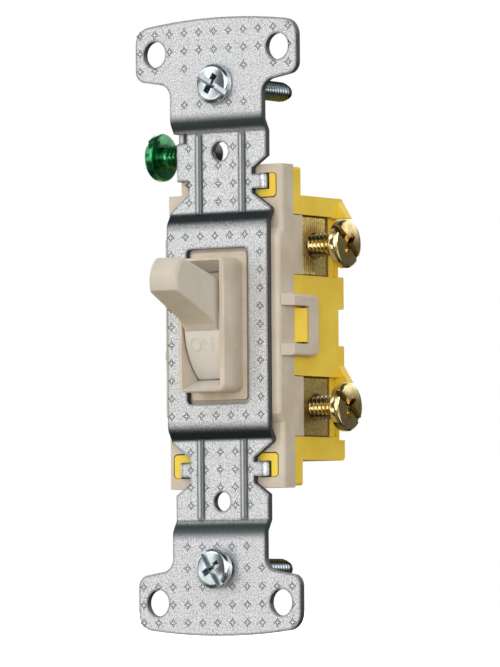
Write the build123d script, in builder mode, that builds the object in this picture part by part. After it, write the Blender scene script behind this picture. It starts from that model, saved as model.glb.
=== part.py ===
"""Single-pole toggle wall switch on a steel mounting yoke.

The frame: +X is right, +Y is back towards the wall box, +Z is up. The origin is midway between
the two box screws, on the plane of the ears' back faces. Sizes are millimetres.
"""
import os
from math import cos, radians, sin, sqrt

from build123d import *

os.makedirs("parts", exist_ok=True)

# ---- driving dimensions --------------------------------------------------------------------
# device-box standard
box_screw_z = 83.34 / 2  # the box screws stand 3-9/32 in apart
plate_screw_z = 60.325 / 2  # the wall-plate screws stand 2-3/8 in apart
strap_half_length = 53.2
strap_t = 1.1
bend_r = 2.4

# depths, from the front to the back
bezel_front = -6.15
ear_front = -strap_t
boss_front = -0.5
rib_front = 0.05  # the ribbed stretches of the yoke lie behind the ears and the middle
cover_front_mid = 0.05
cover_front_end = rib_front + strap_t + 0.05
seam_y = 4.75  # the cover meets the base
flange_back = 7.1
floor_front = 16.8
base_back = 18.6
rib_back = 20.3

# widths and heights
plateau_half_width = 10.5
neck_half_width = 9.6
ear_half_width = 16.8
window_half = (6.4, 13.35)
cover_half_width = 12.0
cover_top = 27.6
cover_bottom = -27.9
wall = 1.4
loop_t = 1.4
base_half_width = cover_half_width - 0.05
block_top = 22.4
block_bottom = -23.05
cavity_half = (8.2, 20.3)

# clinch tabs, which hold the yoke to the housing
tab_z = (23.45, 25.9)
tab_outer_x = 9.3
tab_corners = ((1, 1), (1, -1), (-1, -1))

# ground tab and its screw
ground_z = 30.0
ground_y = 4.2
ground_tab_outer = -9.65
ground_head_under = -14.4
ground_shank_end = -3.2

# toggle
pivot_y = 6.2
throw = 39.0
barrel_r = 11.9
barrel_half_width = 3.65
opening_half_width = 3.93
throat_y = -1.5
barrel_clear = 0.2
trunnion_r = 1.6
trunnion_half = 5.4
lever_reach = 25.25
running = 0.05

# contact system
rock_y = 14.0
rock_tilt = 5.0
arm_t = 0.8
arm_half_width = 2.2
contact_reach = 12.0
contact_r = 1.6

# terminals
terminal_z = 14.05
terminal_y = 12.6
terminal_x = (10.1, 11.0)
terminal_head_under = 16.5
recess = (8.65, 19.1)  # height of a terminal recess, above or below the middle
recess_back = 16.9
leg_y = (15.95, 16.75)

# screws: number 8-32 at the terminals and ground, number 6-32 at the box
terminal_shank_r = 2.08
terminal_head_r = 4.2
box_shank_r = 1.755
box_head_r = 3.5
head_edge_r = 0.5
box_screw_length = 22.0
box_neck_r = 1.6  # the plain neck under the head, which the fibre retainer grips
box_neck_length = 5.4
lower_screw_out = 0.9  # the lower box screw stands a little out of its seat
retainer_y = 3.0

# push-in wire holes in the back
wire_hole = (-5.5, 16.5)
wire_hole_r = 1.15


def front_plane(y):
    """The plane at depth y that faces the front; sketches on it are drawn in x and z."""
    return Plane.XZ.offset(-y)


def block(x, y, z, mode=Mode.ADD):
    """A box between two x, two y and two z values, in the part being built."""
    centre = tuple((low + high) / 2 for low, high in (x, y, z))
    with Locations(centre):
        Box(*(abs(high - low) for low, high in (x, y, z)), mode=mode)


def span(sign, low, high):
    """The interval from low to high on the side of zero that sign names."""
    return tuple(sorted((sign * low, sign * high)))


def finish(builder, name):
    """Label a finished piece and write its STEP file."""
    builder.part.label = name
    export_step(builder.part, f"parts/{name}.step")
    print(f"{name:22s} {builder.part.volume:10.2f} mm3  solids {len(builder.part.solids())}")


# ---- mounting yoke -------------------------------------------------------------------------
# One quarter of the outline, from the middle to the ear, as (x, z); the notches free a clinch tab.
clinch_quarter = [
    (plateau_half_width, 20.0),
    (6.65, 22.7),
    (6.65, tab_z[0]),
    (8.3, tab_z[0]),
    (8.3, tab_z[1]),
    (6.65, tab_z[1]),
    (6.65, 27.0),
    (neck_half_width, 29.0),
    (neck_half_width, 41.8),
    (ear_half_width, 43.0),
    (ear_half_width, 51.9),
]
# The quarter at the upper left carries the ground tab instead.
ground_quarter = [
    (plateau_half_width, 20.0),
    (6.65, 22.9),
    (6.65, 25.3),
    (8.35, 25.3),
    (8.35, 31.8),
    (6.95, 31.8),
    (6.95, 33.5),
    (neck_half_width, 33.5),
    (neck_half_width, 41.8),
    (ear_half_width, 43.0),
    (ear_half_width, 51.9),
]
step_path = [
    (ear_front, strap_half_length + 1),
    (ear_front, 35.3),
    (rib_front, 33.4),
    (rib_front, 19.5),
    (ear_front, 17.7),
]
front_line = step_path + [(y, -z) for y, z in reversed(step_path)]
back_line = [(y + strap_t, z) for y, z in reversed(front_line)]
right_side = [(x, -z) for x, z in reversed(clinch_quarter)] + clinch_quarter
left_side = [(-x, z) for x, z in reversed(ground_quarter)] + [(-x, -z) for x, z in clinch_quarter]
corner_radii = {(ear_half_width, 51.9): 3.0, (ear_half_width, 43.0): 2.0, (neck_half_width, 41.8): 2.4,
                (plateau_half_width, 20.0): 0.9, (6.65, 27.0): 0.4, (6.65, 22.7): 0.35}

with BuildPart() as mounting_yoke:
    with BuildSketch(Plane.YZ):
        with BuildLine():
            Polyline(*front_line, *back_line, close=True)
        make_face()
        # the outsides of the bends are rolled round; sketch X is depth and sketch Y is height
        bends = [v for v in vertices() if abs(v.X - ear_front) < 0.01 and abs(v.Y) < strap_half_length]
        fillet(bends, bend_r)
    extrude(amount=ear_half_width + 1, both=True)
    with BuildSketch(front_plane(3)):
        with BuildLine():
            Polyline(*right_side)
            ThreePointArc(right_side[-1], (0, strap_half_length), left_side[0])
            Polyline(*left_side)
            ThreePointArc(left_side[-1], (0, -strap_half_length), right_side[0])
        make_face()
        for (corner_x, corner_z), radius in corner_radii.items():
            corners = [v for v in vertices() if abs(abs(v.X) - corner_x) + abs(abs(v.Y) - corner_z) < 0.01]
            fillet(corners, radius)
    extrude(amount=6, mode=Mode.INTERSECT)
    # clinch tabs: bent back through the housing and folded over behind its flange
    for side, end in tab_corners:
        inner_x = tab_outer_x - strap_t
        with BuildSketch(Plane.XY.offset(tab_z[0] if end > 0 else -tab_z[1])):
            with BuildLine():
                Polyline((side * 8.0, rib_front), (side * 6.6, rib_front), (side * 6.6, rib_front + strap_t),
                         (side * inner_x, rib_front + strap_t), (side * inner_x, flange_back + 0.1),
                         (side * 6.2, flange_back + 0.1), (side * 6.2, flange_back + 1.2),
                         (side * tab_outer_x, flange_back + 1.2), (side * tab_outer_x, rib_front + 1.3))
                RadiusArc((side * tab_outer_x, rib_front + 1.3), (side * 8.0, rib_front), side * 1.3)
            make_face()
        extrude(amount=tab_z[1] - tab_z[0])
    # ground tab: bent back, and taller behind the face than in front
    with BuildSketch(Plane.XY.offset(25.3)):
        with BuildLine():
            Polyline((-8.35, rib_front), (-7.0, rib_front), (-7.0, rib_front + strap_t),
                     (ground_tab_outer + strap_t, rib_front + strap_t), (ground_tab_outer + strap_t, 8.2),
                     (ground_tab_outer, 8.2), (ground_tab_outer, rib_front + 1.3))
            RadiusArc((ground_tab_outer, rib_front + 1.3), (-8.35, rib_front), -1.3)
        make_face()
    extrude(amount=6.5)
    block((ground_tab_outer, ground_tab_outer + strap_t), (1.6, 8.2), (31.8, 34.4))
    # stiffening beads beside the wall-plate holes
    for end in (33.2, -19.4):
        with BuildSketch(Plane.XY.offset(end - 13.8)):
            with Locations((-4.4, 0.4), (4.6, 0.4)):
                Circle(0.75)
        extrude(amount=13.8)
    # window, wall-plate holes, box-screw slots and ear holes
    with BuildSketch(front_plane(3)):
        RectangleRounded(2 * window_half[0], 2 * window_half[1], 0.8)
        with Locations((0, plate_screw_z), (0, -plate_screw_z)):
            Circle(1.68)
        with Locations((0, box_screw_z), (0, -box_screw_z)):
            SlotOverall(6.2, 3.9)
        with GridLocations(25.6, 95.0, 2, 2):
            Circle(2.27)
    extrude(amount=6, mode=Mode.SUBTRACT)
    with Locations(Plane((ground_tab_outer + strap_t / 2, ground_y, ground_z), z_dir=(1, 0, 0))):
        Cylinder(terminal_shank_r + 0.04, 2, mode=Mode.SUBTRACT)
finish(mounting_yoke, "mounting_yoke")

# ---- cover ---------------------------------------------------------------------------------
with BuildPart() as cover:
    with BuildSketch(Plane.YZ):
        with BuildLine():
            Polyline((cover_front_end, cover_bottom), (cover_front_end, -16.8), (cover_front_mid, -15.3),
                     (cover_front_mid, 15.3), (cover_front_end, 16.8), (cover_front_end, cover_top),
                     (seam_y, cover_top), (seam_y, cover_bottom), close=True)
        make_face()
    extrude(amount=cover_half_width, both=True)
    side_edges = edges().filter_by(lambda e: abs(abs(e.center().X) - cover_half_width) < 0.01
                                   and e.center().Y < cover_front_end + 0.01)
    fillet(side_edges, 0.9)
    # the upper left corner is cut back around the ground tab
    block((-13, -8.9), (-1, 5), (22.9, 29), mode=Mode.SUBTRACT)
    block((-13, -8.35), (-1, 5), (25.15, 29), mode=Mode.SUBTRACT)
    # hollow back
    inside_x = cover_half_width - wall
    block((-8.2, inside_x), (cover_front_end + wall, 5), (-26.3, 22.5), mode=Mode.SUBTRACT)
    block((-7.0, inside_x), (cover_front_end + wall, 5), (22.4, 26.2), mode=Mode.SUBTRACT)
    block((-inside_x, -8.1), (cover_front_end + wall, 5), (-26.3, 21.5), mode=Mode.SUBTRACT)
    block((-inside_x, inside_x), (cover_front_mid + wall, 3), (-14.5, 14.5), mode=Mode.SUBTRACT)
    # boss in the yoke's window, and the bezel that the wall plate fits around
    with BuildSketch(front_plane(1)):
        RectangleRounded(2 * 5.75, 2 * 12.7, 0.5)
    extrude(amount=1 - boss_front)
    with BuildSketch(front_plane(1)):
        RectangleRounded(2 * 4.8, 2 * 11.5, 1.3)
    extrude(amount=1 - bezel_front)
    rim = faces().filter_by(Plane.XZ).sort_by(Axis.Y)[0].outer_wire().edges()
    fillet(rim, 0.45)
    # trunnion keepers on the inside
    for side in (1, -1):
        block(span(side, 4.2, 8.0), (cover_front_mid + 0.5, pivot_y - trunnion_r - 0.1), (-2.4, 2.4))
    # opening: a funnel down to the throat, then the sweep of the toggle's barrel
    with BuildSketch(Plane.YZ):
        with BuildLine():
            throat_z = sqrt((barrel_r + barrel_clear) ** 2 - (pivot_y - throat_y) ** 2)
            Polyline((bezel_front - 1, 11.2), (bezel_front, 11.0), (throat_y, throat_z), (throat_y, -throat_z),
                     (bezel_front, -11.0), (bezel_front - 1, -11.2), close=True)
        make_face()
    extrude(amount=opening_half_width, both=True, mode=Mode.SUBTRACT)
    with BuildSketch(Plane.YZ):
        with Locations((pivot_y, 0)):
            Circle(barrel_r + barrel_clear)
        with Locations((-10 + throat_y, 0)):
            Rectangle(20, 40, mode=Mode.SUBTRACT)
    extrude(amount=opening_half_width, both=True, mode=Mode.SUBTRACT)
    # slots for the clinch tabs and the base's sleeves
    with BuildSketch(front_plane(5)):
        for side, end in tab_corners:
            with Locations((side * 8.93, end * 23.95)):
                RectangleRounded(4.05, 4.3, 0.8)
    extrude(amount=5, mode=Mode.SUBTRACT)
    # tongues that close the front of each terminal recess
    for low in (recess[0] + 0.1, -recess[1] + 0.1):
        block((11.05, cover_half_width), (seam_y - 0.5, 7.5), (low, low + 10.2))
    # latch loops on both sides, over the lugs of the base
    for side, middle, loop_height, gap_height in ((1, 0, 10.6, 6.6), (-1, -0.2, 10.9, 7.5)):
        with BuildSketch(Plane.YZ.offset(side * cover_half_width)):
            with Locations((5.6, middle)):
                Rectangle(10.0, loop_height)
            fillet(vertices().sort_by(Axis.X)[-2:], 1.4)
            with Locations((3.9, middle)):
                Rectangle(7.2, gap_height, mode=Mode.SUBTRACT)
        extrude(amount=side * loop_t)
        # the bars rise out of the cover's side along a slope
        with BuildSketch(Plane.XY):
            with BuildLine():
                Polyline((side * cover_half_width, 0.5), (side * (cover_half_width + loop_t + 0.1), 0.5),
                         (side * (cover_half_width + loop_t + 0.1), 3.0), close=True)
            make_face()
        extrude(amount=8, both=True, mode=Mode.SUBTRACT)
        ends = edges().filter_by(lambda e: abs(e.center().X - side * (cover_half_width + loop_t)) < 0.01
                                 and abs(e.center().Z - middle) > loop_height / 2 - 0.5)
        fillet(ends, 0.5)
finish(cover, "cover")

# ---- base ----------------------------------------------------------------------------------
with BuildPart() as base:
    block((-base_half_width, base_half_width), (seam_y, flange_back), (-27.5, 27.3))
    corner_edges = edges().filter_by(Axis.Y)
    fillet(corner_edges, 0.5)
    block((-base_half_width, base_half_width), (seam_y + 1, base_back), (block_bottom, block_top))
    # cross ribs on the back
    for low, high in ((18.9, block_top), (3.2, 8.75), (-8.75, -3.2), (block_bottom, -19.5)):
        block((-base_half_width, base_half_width), (base_back - 0.5, rib_back), (low, high))
    back_corners = edges().filter_by(Axis.X).group_by(Axis.Y)[-1].sort_by(Axis.Z)
    fillet([back_corners[0], back_corners[-1]], 0.8)
    block((-13, -8.9), (4, 7.6), (22.9, 28), mode=Mode.SUBTRACT)
    block((-13, -8.35), (4, 7.6), (25.15, 28), mode=Mode.SUBTRACT)
    # guards above and behind each terminal screw
    for low, high in ((18.9, 21.9), (-9.6, -6.6)):
        with BuildSketch(front_plane(rib_back)):
            with BuildLine():
                Polyline((10.5, low), (13.85, low), (base_half_width, high), (10.5, high), close=True)
            make_face()
        extrude(amount=rib_back - 18.5)
    # mechanism cavity, open to the front
    block((-cavity_half[0], cavity_half[0]), (0, floor_front), (-cavity_half[1], cavity_half[1]), mode=Mode.SUBTRACT)
    # terminal recesses in the right side, with the way for each screw's end and each terminal's leg
    for end in (1, -1):
        block((terminal_x[0] - 0.05, 14), (0, recess_back), span(end, *recess), mode=Mode.SUBTRACT)
        block((11.1, 14), (recess_back - 1, base_back - 0.01), span(end, recess[0], recess[1] - 0.2), mode=Mode.SUBTRACT)
        with Locations(Plane((9.2, terminal_y, end * terminal_z), z_dir=(1, 0, 0))):
            Cylinder(2.6, 3, mode=Mode.SUBTRACT)
        block((8, 10.2), (leg_y[0] - 0.1, floor_front), span(end, 9.9, 14.1), mode=Mode.SUBTRACT)
    # slots for the clinch tabs
    for side, end in tab_corners:
        block(span(side, 8.1, 9.4), (4, 8), span(end, tab_z[0] - 0.1, tab_z[1] + 0.1), mode=Mode.SUBTRACT)
        # sleeves that line the cover's slots on two sides
        with BuildSketch(front_plane(seam_y + 0.2)):
            with Locations((side * 8.88, end * 24.0)):
                RectangleRounded(3.75, 4.0, 0.65)
            with Locations((side * 7.45, end * 25.3)):
                Rectangle(4.0, 4.0, mode=Mode.SUBTRACT)
        extrude(amount=seam_y + 0.2 - cover_front_end)
    # latch lugs under the loops
    for side in (1, -1):
        with BuildSketch(Plane.XY.offset(-2.9)):
            with BuildLine():
                Polyline((side * 11.5, 5.0), (side * 12.0, 5.0), (side * 13.1, 6.9), (side * 13.1, 7.35),
                         (side * 11.5, 7.35), close=True)
            make_face()
        extrude(amount=5.8)
    # trunnion saddles, open to the front
    for side in (1, -1):
        block(span(side, 3.95, 8.4), (4.85, floor_front + 0.2), (-3.0, 3.0))
        block(span(side, 3.9, 5.5), (0, pivot_y), (-trunnion_r - running, trunnion_r + running), mode=Mode.SUBTRACT)
        with Locations(Plane((side * 4.7, pivot_y, 0), z_dir=(1, 0, 0))):
            Cylinder(trunnion_r + running, 1.6, mode=Mode.SUBTRACT)
    # push-in wire holes
    with BuildSketch(front_plane(base_back + 1)):
        with Locations((wire_hole[0], wire_hole[1]), (wire_hole[0], -wire_hole[1])):
            Circle(wire_hole_r)
    extrude(amount=4, mode=Mode.SUBTRACT)
finish(base, "base")

# ---- toggle --------------------------------------------------------------------------------
# Drawn in the lever's own axes: u runs from the pivot out along the lever, w is square to it, upwards.
lever_rise = radians(throw / 2)
lever_axis = Vector(0, -cos(lever_rise), sin(lever_rise))
lever_side = Plane((0, pivot_y, 0), x_dir=lever_axis, z_dir=(-1, 0, 0))


def lever_section(u):
    """The plane across the lever at distance u from the pivot; drawn in x and w."""
    return Plane(Vector(0, pivot_y, 0) + lever_axis * u, x_dir=(1, 0, 0), z_dir=-lever_axis)


def along_lever(shape):
    """How far a shape's middle lies from the pivot along the lever."""
    return (shape.center() - Vector(0, pivot_y, 0)).dot(lever_axis)


def across_lever(shape):
    """How far a shape's middle lies above the lever's axis, square to it."""
    return (shape.center() - Vector(0, pivot_y, 0)).dot(lever_axis.cross(Vector(1, 0, 0)))


# The lever: its side outline, flared at the root, cut to a taper from above and rounded on its edges.
lever_half_width = 3.45
tip_half_width = 2.85
tip_top = (24.4, 3.2)
tip_bottom = (24.1, -2.8)
with BuildPart() as lever:
    with BuildSketch(lever_side):
        with BuildLine():
            Polyline(tip_top, (22.4, 3.35), (12.9, 3.55), (11.3, 4.9), (10.4, 4.9), (10.4, -4.9), (11.3, -4.9),
                     (12.3, -4.25), (14.0, -3.85), tip_bottom)
            ThreePointArc(tip_bottom, (lever_reach, 0.5), tip_top)
        make_face()
    extrude(amount=5, both=True)
    with BuildSketch(Plane((0, pivot_y, 0), x_dir=(1, 0, 0), z_dir=Vector(1, 0, 0).cross(lever_axis))):
        with BuildLine():
            Polyline((lever_half_width, 10), (lever_half_width, 11), (tip_half_width, 26), (-tip_half_width, 26),
                     (-lever_half_width, 11), (-lever_half_width, 10), close=True)
        make_face()
    extrude(amount=8, both=True, mode=Mode.INTERSECT)
    tip_sides = edges().filter_by(lambda e: along_lever(e) > 24.2 and abs(e.center().X) > 2)
    fillet(tip_sides, 1.0)
    # the rounds of the long edges run on over the tip
    for low, high, radius in ((-4.5, -2.5, 0.4), (2.5, 4, 0.5)):
        rims = edges().filter_by(lambda e: along_lever(e) > 13 and abs(e.center().X) > 2.5
                                 and low < across_lever(e) < high)
        fillet(rims, radius)

with BuildPart() as toggle_lever:
    # barrel: a curved shell that closes the opening in both positions
    with BuildSketch(lever_side):
        with BuildLine():
            arc_ends = [(radius * cos(radians(angle)), radius * sin(radians(angle)))
                        for radius in (barrel_r, barrel_r - 1.7) for angle in (-72, 72)]
            ThreePointArc(arc_ends[0], (barrel_r, 0), arc_ends[1])
            Line(arc_ends[1], arc_ends[3])
            ThreePointArc(arc_ends[3], (barrel_r - 1.7, 0), arc_ends[2])
            Line(arc_ends[2], arc_ends[0])
        make_face()
    extrude(amount=barrel_half_width, both=True)
    # web from the hub to the barrel
    with BuildSketch(lever_side):
        with Locations((5.3, 0)):
            Rectangle(10.6, 6.4)
    extrude(amount=lever_half_width, both=True)
    add(lever.part)
    # hub, trunnions and the tail that guides the spring
    with BuildSketch(lever_side):
        Circle(3.6)
    extrude(amount=barrel_half_width, both=True)
    with BuildSketch(lever_side):
        Circle(trunnion_r)
    extrude(amount=trunnion_half, both=True)
    with BuildSketch(lever_section(-5.2)):
        Circle(2.5)
    extrude(amount=-5.2)
    with BuildSketch(lever_section(-5.2)):
        Circle(1.55)
    extrude(amount=-6.4, mode=Mode.SUBTRACT)
finish(toggle_lever, "toggle_lever")

plunger_tip = -(rock_y - 0.75 - running - pivot_y)
with BuildPart() as spring_plunger:
    with BuildSketch(lever_section(plunger_tip)):
        Circle(1.5)
    extrude(amount=-2.6)
    fillet(faces().sort_by(Axis.Y)[-1].edges(), 1.2)
    with BuildSketch(lever_section(plunger_tip + 2.6)):
        Circle(0.75)
    extrude(amount=-2.6)
finish(spring_plunger, "spring_plunger")

spring_wire_r = 0.22
spring_start = plunger_tip + 2.6 + spring_wire_r + 0.02
with BuildPart() as toggle_spring:
    with BuildLine() as coil:
        Helix(pitch=0.95, height=1.15 - spring_start - spring_wire_r, radius=1.12,
              center=tuple(Vector(0, pivot_y, 0) + lever_axis * spring_start), direction=tuple(lever_axis))
    with BuildSketch(Plane(coil.line @ 0, z_dir=coil.line % 0)):
        Circle(spring_wire_r)
    sweep(path=coil.line, is_frenet=True)
finish(toggle_spring, "toggle_spring")

# ---- contact system ------------------------------------------------------------------------
# Drawn with the arm square to the base, on a plane tilted to the closed position.
tilt = radians(rock_tilt)
arm_side = Plane((0, rock_y, 0), x_dir=(0, cos(tilt), sin(tilt)), z_dir=(1, 0, 0))
arm_back = -0.55
with BuildPart() as contact_arm:
    with BuildSketch(arm_side):
        with BuildLine():
            Polyline((arm_back, -13.6), (arm_back, -4.5), (-0.75 + arm_t - 0.1, 0), (arm_back, 4.5), (arm_back, 6.0),
                     (arm_back - arm_t, 6.0), (arm_back - arm_t, 4.5), (-0.75, 0), (arm_back - arm_t, -4.5),
                     (arm_back - arm_t, -13.6), close=True)
        make_face()
    extrude(amount=arm_half_width, both=True)
finish(contact_arm, "contact_arm")

contact_face = 0.35
contact_plane = Plane(arm_side.from_local_coords(Vector(contact_face, -contact_reach, 0)),
                      x_dir=(1, 0, 0), z_dir=-arm_side.x_dir)
with BuildPart() as moving_contact:
    with BuildSketch(contact_plane):
        Circle(contact_r)
    extrude(amount=contact_face - arm_back)
finish(moving_contact, "moving_contact")

fixed_front = rock_y + contact_face * cos(tilt) + (contact_reach + contact_r) * sin(tilt) + 0.03
fixed_z = contact_face * sin(tilt) - contact_reach * cos(tilt)
with BuildPart() as fixed_contact:
    with BuildSketch(front_plane(leg_y[0])):
        with Locations((0, fixed_z)):
            Circle(contact_r)
    extrude(amount=leg_y[0] - fixed_front)
finish(fixed_contact, "fixed_contact")

# ---- terminals -----------------------------------------------------------------------------
for name, end in (("line_terminal", 1), ("load_terminal", -1)):
    with BuildPart() as terminal:
        block(terminal_x, (5.2, leg_y[1]), span(end, recess[0] + 0.1, recess[1] - 0.1))
        block((-7.1, terminal_x[1]), leg_y, span(end, 10.0, 14.0))
        # rail that a pushed-in wire is pressed against
        block((-7.1, -3.9), leg_y, span(end, 13.5, 15.2))
        block((-7.1, -3.9), (9.5, leg_y[1]), span(end, 14.4, 15.2))
        if end > 0:
            # the line side runs on to the ridge that the contact arm rocks on
            block((-2.0, 2.0), leg_y, (-0.5, 11.0))
            block((-2.0, 2.0), (rock_y + 0.4, leg_y[0] + 0.2), (-0.4, 0.4))
            with Locations(Plane((0, rock_y + 0.45, 0), z_dir=(1, 0, 0))):
                Cylinder(0.4, 4.0)
        with Locations(Plane((terminal_x[0], terminal_y, end * terminal_z), z_dir=(1, 0, 0))):
            Cylinder(terminal_shank_r + 0.04, 4, mode=Mode.SUBTRACT)
    finish(terminal, name)

# ---- push-in wire clips --------------------------------------------------------------------
for name, end in (("line_wire_clip", 1), ("load_wire_clip", -1)):
    with BuildPart() as clip:
        with BuildSketch(Plane.YZ.offset(-7.0)):
            with BuildLine():
                leaf = [(16.7, 20.2), (9.0, 20.2), (8.4, 19.6), (14.6, 17.8), (14.7, 18.15), (9.2, 19.75),
                        (16.7, 19.8)]
                Polyline(*((y, end * z) for y, z in leaf), close=True)
            make_face()
        extrude(amount=3.0)
    finish(clip, name)

# ---- screws --------------------------------------------------------------------------------


def drive_recess(plane, turn, length, width, depth):
    """Cut a slot, and a cross of half its length, into a screw head from the plane of its top."""
    with Locations(plane * Rot(0, 0, turn)):
        Box(length, width, 2 * depth, mode=Mode.SUBTRACT)
        Box(width, length * 0.44, 2 * depth * 1.3, mode=Mode.SUBTRACT)


for name, end, turn in (("line_terminal_screw", 1, -38), ("load_terminal_screw", -1, -35)):
    with BuildPart() as terminal_screw:
        with BuildSketch(Plane.YZ.offset(terminal_head_under)):
            with Locations((terminal_y, end * terminal_z)):
                Circle(terminal_head_r)
        extrude(amount=1.9)
        fillet(faces().sort_by(Axis.X)[-1].edges(), head_edge_r)
        with BuildSketch(Plane.YZ.offset(terminal_head_under - 7.0)):
            with Locations((terminal_y, end * terminal_z)):
                Circle(terminal_shank_r)
        extrude(amount=7.2)
        head_top = Plane((terminal_head_under + 1.9, terminal_y, end * terminal_z), x_dir=(0, 1, 0), z_dir=(1, 0, 0))
        drive_recess(head_top, turn, 9.0, 1.25, 0.95)
    finish(terminal_screw, name)

with BuildPart() as ground_screw:
    with BuildSketch(Plane.YZ.offset(ground_head_under)):
        with Locations((ground_y, ground_z)):
            Circle(4.15)
    extrude(amount=-2.0)
    fillet(faces().sort_by(Axis.X)[0].edges(), head_edge_r)
    with BuildSketch(Plane.YZ.offset(ground_head_under - 0.5)):
        with Locations((ground_y, ground_z)):
            Circle(terminal_shank_r)
    extrude(amount=ground_shank_end - ground_head_under + 0.5)
    head_top = Plane((ground_head_under - 2.0, ground_y, ground_z), x_dir=(0, 1, 0), z_dir=(-1, 0, 0))
    drive_recess(head_top, 35, 9.0, 1.3, 1.0)
finish(ground_screw, "ground_screw")

for name, end, out, turn in (("upper", 1, 0.0, -32), ("lower", -1, lower_screw_out, -58)):
    seat = ear_front - out
    tip_y = seat + box_screw_length
    with BuildPart() as box_screw:
        with BuildSketch(front_plane(seat)):
            with Locations((0, end * box_screw_z)):
                Circle(box_head_r)
        extrude(amount=1.75)
        fillet(faces().sort_by(Axis.Y)[0].edges(), head_edge_r)
        with BuildSketch(front_plane(tip_y)):
            with Locations((0, end * box_screw_z)):
                Circle(box_shank_r)
        extrude(amount=box_screw_length - box_neck_length)
        chamfer(faces().sort_by(Axis.Y)[-1].edges(), length=2.2, length2=0.65)
        with BuildSketch(front_plane(seat + box_neck_length)):
            with Locations((0, end * box_screw_z)):
                Circle(box_neck_r)
        extrude(amount=box_neck_length + 0.2)
        head_top = Plane((0, seat - 1.75, end * box_screw_z), x_dir=(1, 0, 0), z_dir=(0, -1, 0))
        drive_recess(head_top, turn, 8.0, 1.1, 0.9)
    finish(box_screw, f"{name}_mounting_screw")
    with BuildPart() as retainer:
        with BuildSketch(front_plane(retainer_y - out + 0.8)):
            with Locations((0, end * box_screw_z)):
                RectangleRounded(8.6, 8.6, 0.6)
                Circle(box_neck_r + 0.035, mode=Mode.SUBTRACT)
        extrude(amount=0.8)
    finish(retainer, f"{name}_screw_retainer")
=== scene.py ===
# %% [markdown]
# # A toggle wall switch in Blender
#
# The switch is a stamped steel yoke with an almond plastic cover in its window, a yellow base
# behind it, two brass terminal screws on the right, a green ground screw on the left and two
# mounting screws. Its exact parts arrive from the CAD model. This lesson gives each of them a
# procedural finish, and makes what CAD left plain: screw threads, stamped star marks, raised
# letters on the toggle and the serrated terminal plates.
#
# The axes are +X right, +Y back towards the wall box and +Z up. Sizes are written in millimetres
# and turned into metres where a mesh or a node needs them.

import math

import bmesh
import bpy
import numpy as np
from mathutils import Matrix, Vector


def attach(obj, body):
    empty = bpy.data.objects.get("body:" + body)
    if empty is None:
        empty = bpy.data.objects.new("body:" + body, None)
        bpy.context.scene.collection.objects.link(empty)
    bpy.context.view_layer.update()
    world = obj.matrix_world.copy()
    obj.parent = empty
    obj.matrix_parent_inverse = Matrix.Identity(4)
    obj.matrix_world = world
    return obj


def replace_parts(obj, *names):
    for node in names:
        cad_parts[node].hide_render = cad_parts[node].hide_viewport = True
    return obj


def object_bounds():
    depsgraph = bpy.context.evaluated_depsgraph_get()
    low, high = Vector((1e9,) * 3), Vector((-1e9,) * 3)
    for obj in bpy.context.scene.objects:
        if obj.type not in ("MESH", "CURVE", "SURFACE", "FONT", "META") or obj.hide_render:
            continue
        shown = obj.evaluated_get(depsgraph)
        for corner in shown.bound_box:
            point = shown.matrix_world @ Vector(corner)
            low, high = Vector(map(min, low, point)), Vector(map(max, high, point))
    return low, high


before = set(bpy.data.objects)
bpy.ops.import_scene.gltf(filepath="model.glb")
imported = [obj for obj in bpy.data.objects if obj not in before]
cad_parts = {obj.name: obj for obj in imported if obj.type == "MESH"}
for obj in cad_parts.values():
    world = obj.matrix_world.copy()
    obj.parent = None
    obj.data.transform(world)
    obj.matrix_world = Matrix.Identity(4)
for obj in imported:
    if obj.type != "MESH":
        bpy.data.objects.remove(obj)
cad_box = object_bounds()
MM = 0.001
print("box in mm:", [round(v / MM, 1) for corner in cad_box for v in corner])

# %% [markdown]
# ## Camera
#
# A long lens from a metre away keeps the strap's edges nearly parallel, as in a catalogue. The
# camera stands about 34 degrees round to the right and a little below the middle. Its three axes
# are built from those angles, because a look-at constraint can't give the slight roll.

# %% Camera
azimuth, elevation, roll = math.radians(34.3), math.radians(-2.7), math.radians(-0.43)
aim_right, aim_up = 5.0, -1.27
back = Vector((math.sin(azimuth) * math.cos(elevation), -math.cos(azimuth) * math.cos(elevation),
               math.sin(elevation)))
level_right = Vector((math.cos(azimuth), math.sin(azimuth), 0))
level_up = back.cross(level_right)
right = math.cos(roll) * level_right + math.sin(roll) * level_up
up = -math.sin(roll) * level_right + math.cos(roll) * level_up
aim = (aim_right * right + aim_up * up) * MM

camera_data = bpy.data.cameras.new("catalogue_camera")
camera_data.sensor_width = 36
camera_data.lens = 313.9
camera_data.clip_start = 0.05
camera = bpy.data.objects.new("catalogue_camera", camera_data)
bpy.context.scene.collection.objects.link(camera)
camera.matrix_world = Matrix.Translation(aim + back) @ Matrix((right, up, back)).transposed().to_4x4()
bpy.context.scene.camera = camera
print("camera at", [round(v, 3) for v in camera.location])

# %% [markdown]
# ## Node helpers
#
# Every finish is a small node tree. Building one takes many near-identical lines, so two helpers
# keep it readable: `add` makes a node and fills its sockets, and `maths` chains arithmetic. On
# top of them stand `ramp` for a soft threshold, `band` for a soft stretch of the object, and
# `mix` and `shade` for laying one tone over another.

# %% Node helpers


def add(tree, kind, **values):
    """A new shader node: a lower-case name sets a property, a capitalised one fills or links a socket."""
    made = tree.nodes.new("ShaderNode" + kind)
    for name, value in values.items():
        if name[0].islower():
            setattr(made, name, value)
            continue
        socket = made.inputs[name.replace("_", " ")]
        if isinstance(value, bpy.types.NodeSocket):
            tree.links.new(value, socket)
        else:
            socket.default_value = value
    return made


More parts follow.
